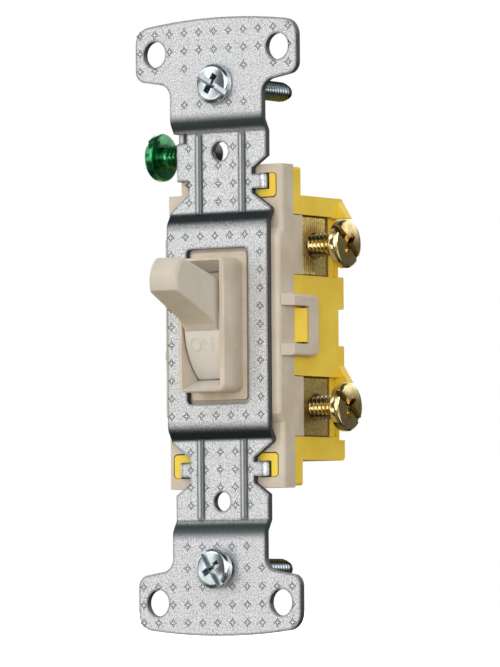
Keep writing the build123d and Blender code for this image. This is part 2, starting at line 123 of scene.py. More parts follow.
def maths(tree, operation, *terms):
    """One Math node over numbers or sockets."""
    made = tree.nodes.new("ShaderNodeMath")
    made.operation = operation
    for socket, term in zip(made.inputs, terms):
        if isinstance(term, bpy.types.NodeSocket):
            tree.links.new(term, socket)
        else:
            socket.default_value = term
    return made.outputs[0]


def ramp(tree, value, low, high, out_low=0.0, out_high=1.0):
    """A smooth step: out_low where value is below low, out_high above high."""
    return add(tree, "MapRange", interpolation_type="SMOOTHSTEP", Value=value, From_Min=low, From_Max=high,
               To_Min=out_low, To_Max=out_high).outputs[0]


def band(tree, length, rise, full, fall, gone):
    """1 where a length lies between full and fall millimetres, 0 below rise and above gone."""
    return maths(tree, "MULTIPLY", ramp(tree, length, rise * MM, full * MM),
                 ramp(tree, length, fall * MM, gone * MM, 1, 0))


def mix(tree, share, first, second):
    """Two colours mixed by share; each is a colour socket or a colour in linear light."""
    made = tree.nodes.new("ShaderNodeMix")
    made.data_type = "RGBA"
    for index, value in ((0, share), (6, first), (7, second)):
        if isinstance(value, bpy.types.NodeSocket):
            tree.links.new(value, made.inputs[index])
        else:
            made.inputs[index].default_value = value if index == 0 else (*value, 1)
    return made.outputs[2]


def shade(tree, colour, where, share, tone):
    """The colour turned over to tone, by share where `where` is 1 and not at all where it is 0."""
    return mix(tree, maths(tree, "MULTIPLY", where, share), colour, tone)


print("node helpers ready")

# %% [markdown]
# ## What a surface knows about itself
#
# Real parts aren't one tone: every surface has some grain. Shade is painted in as well: painted
# shadow in narrow gaps, and a thin painted dark line along the edges of bent steel. Grain is noise
# read from the object's own coordinates, so it stays with the part. Gaps are found by occlusion over
# a short distance, and edges by how far a rounded normal turns away from the flat one. Both follow
# the shape by themselves, where painting them by position would need a list of every corner.

# %% Grain, gaps and edges


def grain(tree, place, size, detail=2.0, rough=0.5):
    """Noise whose blotches are about size millimetres across."""
    noise = add(tree, "TexNoise", Vector=place, Scale=1 / (size * MM), Detail=detail, Roughness=rough)
    return noise.outputs[0]


def in_crevice(tree, reach, closed=0.08, open_=0.45):
    """1 in gaps narrower than about reach millimetres, 0 on open skin: occlusion over a short distance."""
    openness = add(tree, "AmbientOcclusion", samples=5, Distance=reach * MM).outputs["AO"]
    return ramp(tree, openness, closed, open_, 1.0, 0.0)


def turned_at_edge(tree, radius):
    """How far the surface turns near an edge: 1 - the dot of its rounded and its flat normal."""
    agree = add(tree, "VectorMath", operation="DOT_PRODUCT")
    tree.links.new(add(tree, "Bevel", samples=4, Radius=radius * MM).outputs[0], agree.inputs[0])
    tree.links.new(add(tree, "NewGeometry").outputs["Normal"], agree.inputs[1])
    return maths(tree, "SUBTRACT", 1.0, agree.outputs["Value"])


def finish_of(name, metallic, roughness, **sockets):
    """A material with a Principled shader: (material, its tree, the shader, Object coordinates)."""
    material = bpy.data.materials.new(name)
    material.use_nodes = True
    tree = material.node_tree
    shader = tree.nodes["Principled BSDF"]
    shader.inputs["Metallic"].default_value = metallic
    shader.inputs["Roughness"].default_value = roughness
    for key, value in sockets.items():
        shader.inputs[key.replace("_", " ")].default_value = value
    return material, tree, shader, add(tree, "TexCoord").outputs["Object"]


def join_up(tree, shader, colour, roughness=None, height=None, depth=0.02, strength=1.0):
    """Links a colour, a roughness and a bump of depth millimetres into the shader."""
    tree.links.new(colour, shader.inputs["Base Color"])
    if roughness is not None:
        tree.links.new(roughness, shader.inputs["Roughness"])
    if height is not None:
        bump = add(tree, "Bump", Height=height, Distance=depth * MM, Strength=strength)
        tree.links.new(bump.outputs[0], shader.inputs["Normal"])


print("surface helpers ready")

# %% [markdown]
# ## Zinc-plated steel
#
# The yoke is galvanised strip: pale grey, with fine light and dark spangle a quarter of a
# millimetre across. An even metal would look like paint, so three noises of different size vary
# its tone, and one of them its roughness too.

# %% Zinc-plated steel
zinc, tree, shader, place = finish_of("zinc_steel", 0.5, 0.42)
axes = add(tree, "SeparateXYZ", Vector=place)
spangle = grain(tree, place, 0.27, 3.0, 0.65)
cloud = grain(tree, place, 1.6, 2.0)
speck = grain(tree, place, 0.2, 1.0)
base = mix(tree, ramp(tree, spangle, 0.38, 0.62), (0.54, 0.55, 0.57), (0.95, 0.97, 0.99))
base = mix(tree, ramp(tree, cloud, 0.35, 0.7, 0.0, 0.35), base, (0.70, 0.73, 0.75))
base = mix(tree, ramp(tree, speck, 0.60, 0.74, 0.0, 0.75), base, (0.10, 0.11, 0.12))
print(zinc.name, "has its spangle")

# %% [markdown]
# The sloping steps of the strip get a painted reflection of the dark part of a studio, and so do the
# flanks of its two stiffening beads, with a painted highlight, a bright line, along each crest. They
# are stretches of height and of width, so they are laid over the spangle as bands, and the speck
# noise makes the limits of the steps ragged.

# %% Steps and beads
height = maths(tree, "ADD", maths(tree, "ABSOLUTE", axes.outputs["Z"]),
               maths(tree, "MULTIPLY_ADD", speck, 0.6 * MM, -0.3 * MM))
# Painted reflection: dark bands over the sloping steps.
steps = (((16.0, 18.4, 19.25, 20.0), 0.98, (0.006, 0.016, 0.018)),
         ((33.2, 34.3, 35.2, 37.1), 0.97, (0.035, 0.058, 0.060)))
for reach, share, tone in steps:
    base = shade(tree, base, band(tree, height, *reach), share, tone)

left_bead, right_bead = -4.4, 4.6
on_right = maths(tree, "GREATER_THAN", axes.outputs["X"], 0.1 * MM)
past_bead = maths(tree, "SUBTRACT", maths(tree, "SUBTRACT", axes.outputs["X"], left_bead * MM),
                  maths(tree, "MULTIPLY", on_right, (right_bead - left_bead) * MM))
on_rib = band(tree, height, 19.3, 19.8, 32.8, 33.4)
# Painted reflection on the bead flanks, and a painted highlight along each crest.
left_flank = ((-0.85, -0.70, -0.50, -0.35), 0.6, (0.10, 0.12, 0.125))
crest = ((-0.38, -0.22, 0.00, 0.10), 0.9, (1.0, 1.0, 1.0))
right_flank = ((0.04, 0.20, 0.60, 0.95), 0.85, (0.06, 0.085, 0.09))
for reach, share, tone in (left_flank, crest, right_flank):
    stripe = maths(tree, "MULTIPLY", band(tree, past_bead, *reach), on_rib)
    base = shade(tree, base, stripe, share, tone)
print("steps:", len(steps), "beads at", left_bead, right_bead)

# %% [markdown]
# Cut edges get painted shade: every face that doesn't look to the front or back is darkened almost
# to black, read from the surface's own direction. The last two layers are painted shade too: a thin
# dark line along every bend and edge, and painted shadow in narrow gaps.

# %% Cut edges
direction = add(tree, "SeparateXYZ", Vector=add(tree, "TexCoord").outputs["Normal"])
facing_front = maths(tree, "ABSOLUTE", direction.outputs["Y"])
# Painted shade: faces turned sideways, the cut edges among them, are darkened almost to black.
base = mix(tree, ramp(tree, facing_front, 0.25, 0.6, 0.95, 0), base, (0.05, 0.05, 0.055))
# Painted shade: a thin dark line along every bend and edge.
base = mix(tree, ramp(tree, turned_at_edge(tree, 0.7), 0.004, 0.03, 0.0, 0.9), base, (0.035, 0.04, 0.045))
# Painted shadow in narrow gaps.
base = shade(tree, base, in_crevice(tree, 0.5, 0.05, 0.3), 0.8, (0.02, 0.025, 0.03))
join_up(tree, shader, base, ramp(tree, spangle, 0.3, 0.7, 0.48, 0.34), spangle, 0.02, 0.35)
print(zinc.name, "uses", len(tree.nodes), "nodes")

# %% [markdown]
# The star marks are coined into the strip, and the shade in their outlines is painted: they are
# thin ridges here, in the same steel but painted much darker.

# %% Stamped marks
stamped, tree, shader, place = finish_of("stamped_steel", 0.7, 0.5)
wear = grain(tree, place, 0.3, 2.0)
# Painted shade: the stars' dark tone, drifting over the grain.
mark_tone = mix(tree, ramp(tree, wear, 0.35, 0.7), (0.015, 0.015, 0.018), (0.10, 0.10, 0.11))
join_up(tree, shader, mark_tone, None, wear, 0.01, 0.4)
print(stamped.name, "uses", len(tree.nodes), "nodes")

# %% [markdown]
# ## Bright and brass screws
#
# Screw heads are smoother than the strip and catch sharp highlights. One broad noise drifts their
# tone and roughness, a fine one gives a faint bump, and the recess gets painted shade. A thread
# is painted darker than its head, as painted shade: it stands out of the light, and its roots lie
# deeper in shade. So a shank takes a dull tone from a given depth on, and a nearly black one close
# to the screw's own line.

# %% Metals of the screws and contacts


def shank_tone(tree, place, colour, axis, shown, gone, tone, centre, root):
    """Painted shade: the colour turned over to a dull tone along an axis between shown and gone millimetres.

    centre is (place across the strap's other horizontal axis, |z|) of the screw's own line. With r the
    distance from it, the tone is nearly black for r below root[0], as painted shade in the thread's
    roots, and unchanged for r above root[1].
    """
    axes = add(tree, "SeparateXYZ", Vector=place)
    other = "Y" if axis == "X" else "X"
    rise = maths(tree, "SUBTRACT", maths(tree, "ABSOLUTE", axes.outputs["Z"]), centre[1] * MM)
    side = maths(tree, "SUBTRACT", axes.outputs[other], centre[0] * MM)
    squares = maths(tree, "ADD", maths(tree, "POWER", rise, 2.0), maths(tree, "POWER", side, 2.0))
    in_root = ramp(tree, maths(tree, "SQRT", squares), root[0] * MM, root[1] * MM, 0.9, 0.0)
    dull = mix(tree, in_root, tone, (0.01, 0.013, 0.014))
    return mix(tree, ramp(tree, axes.outputs[axis], shown * MM, gone * MM), colour, dull)


def metal(name, dark, light, roughness, blotch=0.9, metallic=1.0, shank=None, gap_shade=0.8, **sockets):
    """A turned or rolled metal: tone and roughness drift over blotches, and gaps get painted shade."""
    material, tree, shader, place = finish_of(name, metallic, roughness, **sockets)
    broad = grain(tree, place, blotch, 3.0, 0.6)
    fine = grain(tree, place, 0.12, 2.0)
    colour = mix(tree, ramp(tree, broad, 0.3, 0.7), dark, light)
    if shank:
        colour = shank_tone(tree, place, colour, **shank)
    # Painted shade in narrow gaps and recesses, such as a head's slot.
    painted_gap_tone = tuple(channel * 0.08 for channel in dark)
    colour = shade(tree, colour, in_crevice(tree, 1.3, 0.3, 0.85), gap_shade, painted_gap_tone)
    sheen = ramp(tree, broad, 0.3, 0.7, roughness + 0.06, roughness - 0.04)
    join_up(tree, shader, colour, sheen, fine, 0.004, 0.25)
    return material


# Painted shade: the shanks' dull tones behind the strap, and nearly black in their roots.
box_shank = dict(axis="Y", shown=-0.4, gone=0.6, tone=(0.19, 0.23, 0.24),
                 centre=(0.0, 41.67), root=(1.42, 1.66))
ground_shank = dict(axis="X", shown=-9.0, gone=-8.0, tone=(0.03, 0.05, 0.045),
                    centre=(4.2, 30.0), root=(1.7, 2.0))
screw_zinc = metal("screw_zinc", (0.50, 0.57, 0.60), (0.70, 0.77, 0.80), 0.14, 2.4, shank=box_shank)
brass = metal("brass", (0.66, 0.50, 0.20), (0.86, 0.72, 0.38), 0.12, 2.4, gap_shade=0.5)
green_steel = metal("green_steel", (0.0, 0.11, 0.035), (0.008, 0.36, 0.09), 0.16, 2.2, 0.8,
                    shank=ground_shank, Coat_Weight=0.8, Coat_Roughness=0.06)
spring_steel = metal("spring_steel", (0.40, 0.41, 0.42), (0.62, 0.63, 0.65), 0.3)
contact_copper = metal("contact_copper", (0.42, 0.17, 0.08), (0.72, 0.36, 0.2), 0.34)
contact_silver = metal("contact_silver", (0.62, 0.61, 0.58), (0.88, 0.87, 0.84), 0.3)
print("metals:", sorted(m.name for m in bpy.data.materials))

# %% [markdown]
# The terminal plates are brass too, but rolled and left dull. Their grooves lie at the plate's
# own face, x = 11 mm, and the ridges stand above it, so the grooves get painted shade by x.

# %% Terminal plate brass
brass_plate, tree, shader, place = finish_of("brass_plate", 0.9, 0.38)
tarnish = grain(tree, place, 0.5, 3.0, 0.6)
ridge_height = add(tree, "SeparateXYZ", Vector=place).outputs["X"]
colour = mix(tree, ramp(tree, tarnish, 0.34, 0.66), (0.38, 0.28, 0.09), (0.60, 0.46, 0.17))
# Painted shade in the grooves between the ridges.
colour = mix(tree, ramp(tree, ridge_height, 10.99 * MM, 11.07 * MM, 0.7, 0.0), colour, (0.09, 0.06, 0.015))
# Painted shadow in narrow gaps.
colour = shade(tree, colour, in_crevice(tree, 0.9), 0.5, (0.05, 0.035, 0.01))
join_up(tree, shader, colour, ramp(tree, tarnish, 0.3, 0.7, 0.45, 0.32), tarnish, 0.006, 0.3)
print(brass_plate.name, "uses", len(tree.nodes), "nodes")

# %% [markdown]
# ## Moulded plastics
#
# Almond for the cover and toggle, a warm yellow for the base, grey fibre for the screw retainers
# and white nylon for the plunger. Injection moulding leaves a satin skin with very fine pebbling
# and slow drifts of tone. The drift is low-contrast noise; stronger noise would read as dirt.
#
# Inside the toggle's opening the almond is painted paler: painted light, standing in for light
# that bounces into the opening. That is a region, not a new material: the toggle's barrel is what
# lies near its axis, and the cover's funnel is what lies deeper than the bezel's rim.

# %% Moulded plastics
pivot_y = 6.2
barrel_limit = (11.9, 12.5)
opening_half_width = (3.8, 4.0)
funnel_half_height = (10.8, 11.0)
funnel_depth = (-6.1, -5.7)


def barrel_skin(tree, depth, height):
    """1 on the toggle's barrel: near the axis, by the root of (depth - pivot)^2 + height^2."""
    back = maths(tree, "SUBTRACT", depth, pivot_y * MM)
    squares = maths(tree, "ADD", maths(tree, "POWER", back, 2.0), maths(tree, "POWER", height, 2.0))
    return ramp(tree, maths(tree, "SQRT", squares), barrel_limit[0] * MM, barrel_limit[1] * MM, 1, 0)


def funnel_skin(tree, depth, height):
    """1 on the cover's funnel: within 11 mm of the middle height, and deeper than the bezel's rim."""
    from_middle = maths(tree, "ABSOLUTE", height)
    tall = ramp(tree, from_middle, funnel_half_height[0] * MM, funnel_half_height[1] * MM, 1, 0)
    deep = ramp(tree, depth, funnel_depth[0] * MM, funnel_depth[1] * MM)
    return maths(tree, "MULTIPLY", tall, deep)


def moulded(name, low, high, roughness, fleck=None, painted_light_region=None):
    """A moulded plastic: slow drift between two near tones, a fine pebble bump and optional flecks.

    The last argument says, from (tree, depth, height), where the opening's skin gets painted light.
    """
    material, tree, shader, place = finish_of(name, 0.0, roughness)
    drift = grain(tree, place, 6.0, 3.0, 0.55)
    pebble = grain(tree, place, 0.22, 2.0)
    colour = mix(tree, ramp(tree, drift, 0.35, 0.65), low, high)
    if fleck:
        colour = mix(tree, ramp(tree, pebble, 0.66, 0.8, 0.0, 0.5), colour, fleck)
    if painted_light_region:
        axes = add(tree, "SeparateXYZ", Vector=place)
        across = maths(tree, "ABSOLUTE", axes.outputs["X"])
        within = ramp(tree, across, opening_half_width[0] * MM, opening_half_width[1] * MM, 1, 0)
        region = painted_light_region(tree, axes.outputs["Y"], axes.outputs["Z"])
        # Painted light: the skin inside the opening is made paler.
        colour = mix(tree, maths(tree, "MULTIPLY", region, within), colour, (0.76, 0.725, 0.66))
    shadow = tuple(channel * 0.09 for channel in low)
    colour = shade(tree, colour, in_crevice(tree, 0.7), 0.85, shadow)
    satin = ramp(tree, pebble, 0.3, 0.7, roughness + 0.06, roughness - 0.06)
    join_up(tree, shader, colour, satin, pebble, 0.008, 0.35)
    return material


almond_cover = moulded("almond_cover", (0.62, 0.535, 0.41), (0.70, 0.615, 0.50), 0.42,
                       (0.50, 0.42, 0.31), funnel_skin)
almond_toggle = moulded("almond_toggle", (0.61, 0.55, 0.445), (0.66, 0.605, 0.51), 0.36, None, barrel_skin)
yellow_base = moulded("yellow_base", (0.92, 0.63, 0.045), (0.97, 0.71, 0.065), 0.4, (0.8, 0.52, 0.03))
grey_fibre = moulded("grey_fibre", (0.11, 0.10, 0.09), (0.2, 0.19, 0.17), 0.8, (0.3, 0.28, 0.25))
white_nylon = moulded("white_nylon", (0.70, 0.69, 0.65), (0.78, 0.77, 0.73), 0.4)
print("finishes so far:", len(bpy.data.materials))

# %% [markdown]
# ## Dress the CAD parts
#
# Each CAD node keeps its mesh and gets one of these finishes in its material slots. A node is
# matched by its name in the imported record, so nothing is guessed.

# %% Dress the CAD parts
finishes = {"mounting_yoke": zinc, "cover": almond_cover, "base": yellow_base, "toggle_lever": almond_toggle,
            "toggle_spring": spring_steel, "spring_plunger": white_nylon, "contact_arm": contact_copper,
            "moving_contact": contact_silver, "fixed_contact": contact_silver, "line_terminal": brass_plate,
            "load_terminal": brass_plate, "line_wire_clip": spring_steel, "load_wire_clip": spring_steel,
            "line_terminal_screw": brass, "load_terminal_screw": brass, "ground_screw": green_steel,
            "upper_mounting_screw": screw_zinc, "lower_mounting_screw": screw_zinc,
            "upper_screw_retainer": grey_fibre, "lower_screw_retainer": grey_fibre}
for node_name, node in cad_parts.items():
    node.data.materials.clear()
    node.data.materials.append(finishes[node_name])
print("nodes dressed:", len(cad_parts))

# %% [markdown]
# ## Making a piece from arrays
#
# All new shapes are surfaces worked out as whole arrays: points of shape (rows, columns, 3), in
# millimetres. `lattice` joins neighbouring points into quads, and `make_piece` merges the seam and
# poles, turns the faces outwards and hangs the piece on its body.

# %% Meshes from arrays


def lattice(rows, columns, first=0, around=False):
    """Quads between the points of a rows by columns grid; around also joins the last column to the first."""
    last = columns if around else columns - 1
    row, here = np.meshgrid(np.arange(rows - 1) * columns, np.arange(last), indexing="ij")
    ahead = (here + 1) % columns
    quads = np.stack([row + here, row + ahead, row + columns + ahead, row + columns + here], -1)
    return quads.reshape(-1, 4) + first


def make_piece(name, points, quads, material, body, sharp=35):
    """One mesh object from points in millimetres: seams merged, normals outward, riding on a body."""
    mesh = bpy.data.meshes.new(name)
    mesh.from_pydata((points * MM).tolist(), [], quads.tolist())
    work = bmesh.new()
    work.from_mesh(mesh)
    bmesh.ops.remove_doubles(work, verts=work.verts, dist=0.002 * MM)
    bmesh.ops.dissolve_degenerate(work, edges=work.edges, dist=0.001 * MM)
    bmesh.ops.recalc_face_normals(work, faces=work.faces)
    work.to_mesh(mesh)
    work.free()
    mesh.polygons.foreach_set("use_smooth", np.ones(len(mesh.polygons), bool))
    mesh.set_sharp_from_angle(angle=math.radians(sharp))
    mesh.materials.append(material)
    piece = bpy.data.objects.new(name, mesh)
    bpy.context.scene.collection.objects.link(piece)
    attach(piece, body)
    print(f"{name}: {len(mesh.polygons)} faces")
    return piece


print("mesh helpers ready")

# %% [markdown]
# ## Screw heads
#
# A head has one long slot and a short arm across it, for either kind of driver. It could be cut
# with Booleans, but a height over a disc is simpler and never fails: lines of the grid run along
# the slot's edges, so its walls come out straight.

# %% Screw heads
wall_lean = 0.02
core_share = 0.62
crown = 0.26


def wall_lines(half):
    """The grid lines at the foot and lip of the two walls that stand half a width from the middle."""
    return np.array([-half - wall_lean, -half + wall_lean, half - wall_lean, half + wall_lean])


def head_grid(radius, slot_width, arm_half):
    """Points over a disc, with grid lines on the edges of the slot (along p) and of the cross arm (along q).

    Row angles f run over a half turn with q = radius * sin f. Along a row, p is straight up to the
    core half-width and then stretches to the circle.
    """
    slot_walls = wall_lines(slot_width / 2)
    row_angle = np.linspace(-np.pi / 2, np.pi / 2, 37)
    rows = np.sort(np.concatenate([radius * np.sin(row_angle), slot_walls, wall_lines(arm_half)]))
    core = core_share * radius
    fixed = np.sort(np.concatenate([np.linspace(-core, core, 21), slot_walls]))
    chord = np.sqrt(np.maximum(radius**2 - rows**2, 0))[:, None]
    squeeze = np.minimum(1, chord / (core * 1.08))
    outer = np.linspace(0, 1, 9)[1:]
    flank = core * squeeze + (chord - core * squeeze) * outer
    p = np.concatenate([-flank[:, ::-1], fixed * squeeze, flank], 1)
    q = np.repeat(rows[:, None], p.shape[1], 1)
    return p, q


def head_disc(head, slot):
    """The top of a head as points (p along the slot, q across it, a outwards); its underside is a = 0.

    head = (radius, thickness, rim radius), slot = (width, depth, cross arm half length, cross depth).
    With r the distance from the middle, the top is thickness - crown * (r / radius)^2 with a
    quarter-round rim, lowered to the floor of the slot or of the cross arm inside them.
    """
    radius, thick, rim = head
    width, slot_depth, arm_half, arm_depth = slot
    p, q = head_grid(radius, width, arm_half)
    reach = np.hypot(p, q)
    past = np.clip((reach - (radius - rim)) / rim, 0, 1)
    top = thick - rim * (1 - np.sqrt(1 - past**2)) - crown * (reach / radius) ** 2
    in_slot = np.abs(q) < width / 2
    in_arm = (np.abs(p) < width / 2) & (np.abs(q) < arm_half)
    floor = np.where(in_arm, thick - arm_depth, np.where(in_slot, thick - slot_depth, thick))
    return np.stack([p, q, np.minimum(top, floor)], -1)


print("head grid:", head_grid(1.0, 0.3, 0.5)[0].shape)

# %% [markdown]
# ## Threads
#
# Below the rim everything is rings. On the threaded part the radius depends on the angle as well
# as the height, which is what makes a helix. The Screw modifier would also sweep a profile round,
# but it can't fade the thread in under the neck or taper it at the tip.

# %% Threads
thread_pitch = 25.4 / 32
thread_depth = 0.42
blank_depth = 0.35
tip_drop = 0.62


def thread_rings(angle, shank):
    """Rings of the shank at the given angles, down from the head at a = 0.

    shank = (major radius, end, neck length, taper length). With t = height / pitch + angle / turn, the
    groove is 1.25 * |2 * (t mod 1) - 1| - 0.1, held between 0 and 1, and the radius is major - depth *
    groove. The neck has the blank's radius, and over the taper the radius falls off by a power of 1.5.
    """
    major, end, neck, taper = shank
    down = np.arange(0, end + 1e-6, thread_pitch / 8)[:, None]
    turns = down / thread_pitch + angle / (2 * np.pi)
    groove = np.clip(1.25 * np.abs(2 * (turns % 1) - 1) - 0.1, 0, 1)
    cut = np.clip((down - neck) / (1.2 * thread_pitch), 0, 1)
    nose = np.clip((down - (end - taper)) / taper, 0, 1) ** 1.5 * tip_drop
    r = major - nose - thread_depth * (groove * cut + blank_depth * (1 - cut)) * (1 - 0.5 * nose)
    return np.stack([r * np.cos(angle), r * np.sin(angle), -np.repeat(down, angle.size, 1)], -1)


def screw_points(head, shank, slot):
    """Points and quads of a whole screw in its own axes: the head's disc, its chamfered wall, the thread."""
    disc = head_disc(head, slot)
    rows, columns = disc.shape[:2]
    brim = np.concatenate([disc[:, -1], disc[::-1, 0][1:-1]])
    angle = np.arctan2(brim[:, 1], brim[:, 0])
    radius, major = head[0], shank[0]
    chamfer = [(radius, 0.22), (radius - 0.12, 0.06), (radius - 0.3, 0.0)]
    collar = [(radius, brim[:, 2]), *chamfer, (major - 0.1, 0.0)]
    wall = np.array([[np.cos(angle) * r, np.sin(angle) * r, a + 0 * angle] for r, a in collar])
    spiral = thread_rings(angle, shank)
    tip = np.repeat(spiral[-1:].mean(1, keepdims=True), angle.size, 1)
    rings = np.concatenate([wall.transpose(0, 2, 1), spiral, tip])
    points = np.concatenate([disc.reshape(-1, 3), rings.reshape(-1, 3)])
    quads = np.concatenate([lattice(rows, columns),
                            lattice(len(rings), angle.size, first=rows * columns, around=True)])
    return points, quads


print("thread pitch in mm:", round(thread_pitch, 4))

# %% [markdown]
# ## The five screws
#
# Three sizes of screw make five pieces. Each is made once in its own axes, then turned so that its
# head looks outwards and its slot stands at the angle where the driver left it. It replaces the
# plain CAD screw of the same job and rides on the same body.

# %% The five screws


def place_screw(name, at, outward, slot_turn, parts, material, body):
    """Turns a screw's own axes to the object's, with the slot slot_turn degrees round from level."""
    outward = Vector(outward)
    level = Vector((0, 1, 0)) if abs(outward.x) > 0.5 else Vector((1, 0, 0))
    side = outward.cross(level)
    turn = math.radians(slot_turn)
    along = math.cos(turn) * level + math.sin(turn) * side
    across = outward.cross(along)
    points, quads = parts
    own_axes = np.array([along, across, outward])
    return make_piece(name, points @ own_axes + np.array(at), quads, material, body)


terminal_parts = screw_points(head=(4.2, 1.9, 0.6), shank=(2.08, 7.0, 0.5, 0.6), slot=(1.25, 0.93, 1.95, 1.2))
for node_name, z, turn in (("line_terminal_screw", 14.05, -38), ("load_terminal_screw", -14.05, -35)):
    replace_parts(place_screw(node_name + "_threaded", (16.5, 12.6, z), (1, 0, 0), turn, terminal_parts, brass,
                            node_name.replace("_terminal", "")), node_name)
ground_parts = screw_points(head=(4.15, 2.0, 0.6), shank=(2.08, 11.2, 0.6, 0.25), slot=(1.3, 0.88, 1.95, 1.3))
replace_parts(place_screw("ground_screw_threaded", (-14.4, 4.2, 30.0), (-1, 0, 0), 35, ground_parts,
                        green_steel, "ground_screw"), "ground_screw")
box_parts = screw_points(head=(3.5, 1.75, 0.75), shank=(1.755, 22.0, 0.5, 2.2), slot=(1.1, 0.9, 1.8, 1.3))
for end, z, seat, turn in (("upper", 41.67, -1.1, -32), ("lower", -41.67, -2.0, -58)):
    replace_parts(place_screw(end + "_mounting_screw_threaded", (0, seat, z), (0, -1, 0), turn, box_parts,
                            screw_zinc, end + "_box_screw"), end + "_mounting_screw")

# %% [markdown]
# ## Stamped stars
#
# The strip came to the press with rows of small four-pointed stars coined into it. There are
# more than a hundred, so each is only a few dozen faces: a closed outline of eight corners, with a
# three-sided ridge swept round it. The whole array of stars is one broadcast over one outline.
# An Array modifier would fill every place, but the rows have gaps, where the screws and holes are.

# %% Where the stars are
column_pitch = 3.095
first_column = -15.85
everywhere, rib_columns, middle = range(11), (3, 4, 5, 6, 7), range(2, 9)
star_rows = [(50.86, everywhere), (47.77, (0, *middle, 10)), (44.68, (0, 1, 3, 7, 9, 10)),
             (38.4, rib_columns), (30.85, (3, 4, 6, 7)),
             (27.7, rib_columns), (24.6, rib_columns), (21.5, rib_columns),
             (15.54, middle), (-15.4, middle),
             (-21.6, rib_columns), (-24.65, rib_columns), (-27.7, rib_columns), (-30.8, (3, 4, 6, 7)),
             (-37.9, rib_columns), (-41.6, (3, 7, 8)), (-44.75, (0, 1, 2, 3, 4, 6, 7, 8, 9, 10)),
             (-47.84, (0, *middle, 10)), (-50.93, everywhere)]
star_rows += [(15.54 - 3.094 * k, (2, 8)) for k in range(1, 10)]
centres = np.array([(first_column + column_pitch * i, z) for z, columns in star_rows for i in columns])
hole_rim, head_rim = 2.36, 3.6
kept_clear = [(x, z, hole_rim) for x in (12.8, -12.8) for z in (47.5, -47.5)]
kept_clear += [(0.0, z, head_rim) for z in (41.67, -41.67)]
print("stars:", len(centres))

# %% [markdown]
# Where a star reaches into an ear hole or under a seated screw head, its outer points are moved
# out to the rim, so the hole stays open and the head can come down.

# %% Stamped stars
star_corners = 8
tip_radius, waist_radius = 0.76, 0.33
ridge_lines = (0.11, 0.0, -0.14)
ridge_lift = (-0.02, 0.05, -0.02)
front_face, rib_face = -1.1, 0.05
rib_from, rib_to = 19.4, 33.4


def star_points(centres):
    """Each outline corner is centre + radius * (cos, sin), the radius long at the tips and short between.

    The ridge's three lines are the outline grown, kept (and raised) and shrunk. They lie on the strip's
    front face, which is set back between its steps. Points inside a circle that is kept clear are
    pushed out to its rim.
    """
    angle = np.arange(star_corners) * np.pi / 4
    radius = np.where(np.arange(star_corners) % 2 == 0, tip_radius, waist_radius)
    out = np.stack([np.cos(angle), np.sin(angle)], -1)
    lines = np.stack([out * (radius + grow)[:, None] for grow in ridge_lines])
    flat = centres[:, None, None, :] + lines
    for x, z, clear in kept_clear:
        away = flat - (x, z)
        far = np.linalg.norm(away, axis=-1, keepdims=True)
        flat = np.where(far < clear, (x, z) + away / far * clear, flat)
    on_rib = (np.abs(centres[:, 1]) > rib_from) & (np.abs(centres[:, 1]) < rib_to)
    face = np.where(on_rib, rib_face, front_face)[:, None, None]
    depth = np.broadcast_to(face - np.array(ridge_lift)[None, :, None], flat.shape[:3])
    return np.stack([flat[..., 0], depth, flat[..., 1]], -1)


def ridge_side(low, high):
    """Quads between two of a star's three lines, each of which closes on itself."""
    here = np.arange(star_corners)
    ahead = (here + 1) % star_corners
    low, high = low * star_corners, high * star_corners
    return np.stack([low + here, low + ahead, high + ahead, high + here], -1)


stars = star_points(centres)
one_star = np.concatenate([ridge_side(0, 1), ridge_side(1, 2), ridge_side(2, 0)])
star_starts = np.arange(len(stars)) * len(ridge_lines) * star_corners
star_quads = (one_star[None] + star_starts[:, None, None]).reshape(-1, 4)
make_piece("stamped_stars", stars.reshape(-1, 3), star_quads, stamped, "housing", sharp=80)

# %% [markdown]
# ## Letters on the toggle
#
# The barrel under the lever carries plain raised letters: ON below it, and OFF above it, which
# shows when the toggle is thrown. Each stroke is a ribbon along a line, mapped onto the barrel by
# wrapping its height round the barrel's radius. Text objects would have to be bent afterwards.

# %% Raised letters
barrel_r = 11.9
lever_rise = math.radians(19.5)
stroke_half, stroke_tall, stroke_sunk = 0.22, 0.19, -0.05
letter_pitch = 2.55


def on_barrel(x, s, lift):
    """A point of the barrel: x across, arc length s above the lever's axis, lift above the skin."""
    turn = lever_rise + s / barrel_r
    r = barrel_r + lift
    return np.stack([x, pivot_y - r * np.cos(turn), r * np.sin(turn)], -1)


def stroke(line):
    """A ribbon along a flat line of (x, s) points: four lines offset sideways by the line's normal."""
    line = np.array(line, float)
    ahead = np.gradient(line, axis=0)
    if np.allclose(line[0], line[-1]):
        ahead[0] = ahead[-1] = line[1] - line[-2]
    normal = np.stack([-ahead[:, 1], ahead[:, 0]], -1) / np.hypot(*ahead.T)[:, None]
    sides = np.array([-1, -0.55, 0.55, 1]) * stroke_half
    lifts = np.array([stroke_sunk, stroke_tall, stroke_tall, stroke_sunk])
    flat = line[:, None] + normal[:, None] * sides[None, :, None]
    return on_barrel(flat[..., 0], flat[..., 1], np.broadcast_to(lifts, flat.shape[:2]))


def word(letters, x, s, size):
    """Points and quads of a word: each letter is a list of strokes in a cell 2.0 wide and 2.5 high."""
    points, quads, first = [], [], 0
    for k, strokes in enumerate(letters):
        for line in strokes:
            skin = stroke(np.array(line) * size + (x + letter_pitch * k * size, s))
            rows = len(skin)
            points.append(skin.reshape(-1, 3))
            quads.append(lattice(rows, 4, first, around=True))
            if not np.allclose(line[0], line[-1]):
                start_cap = first + np.arange(4)
                end_cap = first + (rows - 1) * 4 + np.arange(3, -1, -1)
                quads.append(np.stack([start_cap, end_cap]))
            first += rows * 4
    return np.concatenate(points), np.concatenate(quads)


